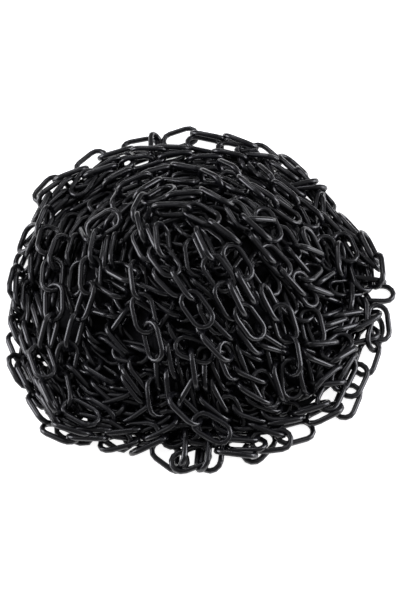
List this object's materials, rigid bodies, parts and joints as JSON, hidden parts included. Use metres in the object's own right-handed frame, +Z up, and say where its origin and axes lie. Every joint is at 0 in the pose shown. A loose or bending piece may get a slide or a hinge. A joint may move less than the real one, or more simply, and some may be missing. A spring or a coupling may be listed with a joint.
{
  "type": "heap of plastic chain",
  "caption": "Loose heap of black plastic short-link chain tipped out on a level floor, with a free end link at its edge.",
  "frame": {"origin": "middle of the heap's flat foot, on the floor it lies on", "axes": "+Z up, +X towards the free end link, +Y towards the back of the heap as it is seen"},
  "size_m": [0.3868, 0.404, 0.1237],
  "materials": {
    "black_plastic": "moulded black plastic, semi-gloss, lightly scuffed"
  },
  "bodies": {
    "root": {"heap_core": "black_plastic", "end_link": "black_plastic", "strand_rim_left": "black_plastic", "strand_rim_back": "black_plastic", "strand_rim_front": "black_plastic", "strand_free_end": "black_plastic", "strand_right_foot": "black_plastic", "strand_front_foot": "black_plastic", "strand_left_foot": "black_plastic", "strand_left_floor": "black_plastic", "strand_left_hollow": "black_plastic", "strand_left_inside": "black_plastic", "strand_centre_low": "black_plastic", "strand_front_corner": "black_plastic", "strand_left_deep": "black_plastic", "strand_left_inner": "black_plastic", "strand_front_deep": "black_plastic", "strand_front_middle": "black_plastic", "strand_front_slope": "black_plastic", "strand_right_low": "black_plastic", "strand_right_knot": "black_plastic", "strand_centre_black": "black_plastic", "strand_left_second": "black_plastic", "strand_left_fourth": "black_plastic", "strand_top_outer": "black_plastic", "strand_back_slope": "black_plastic", "strand_shoulder_right": "black_plastic", "strand_right_top": "black_plastic", "strand_right_edge": "black_plastic", "strand_right_inner": "black_plastic", "strand_right_outer": "black_plastic", "strand_right_slope": "black_plastic", "strand_right_cross": "black_plastic", "strand_left_outer": "black_plastic", "strand_top_second": "black_plastic", "strand_top_third": "black_plastic", "strand_front_left": "black_plastic", "strand_left_third": "black_plastic", "strand_front_right": "black_plastic", "strand_front_ring": "black_plastic", "strand_front_bright": "black_plastic", "strand_middle_left": "black_plastic", "strand_crown": "black_plastic", "strand_swirl": "black_plastic", "strand_middle": "black_plastic", "strand_middle_right": "black_plastic"}
  },
  "joints": []
}
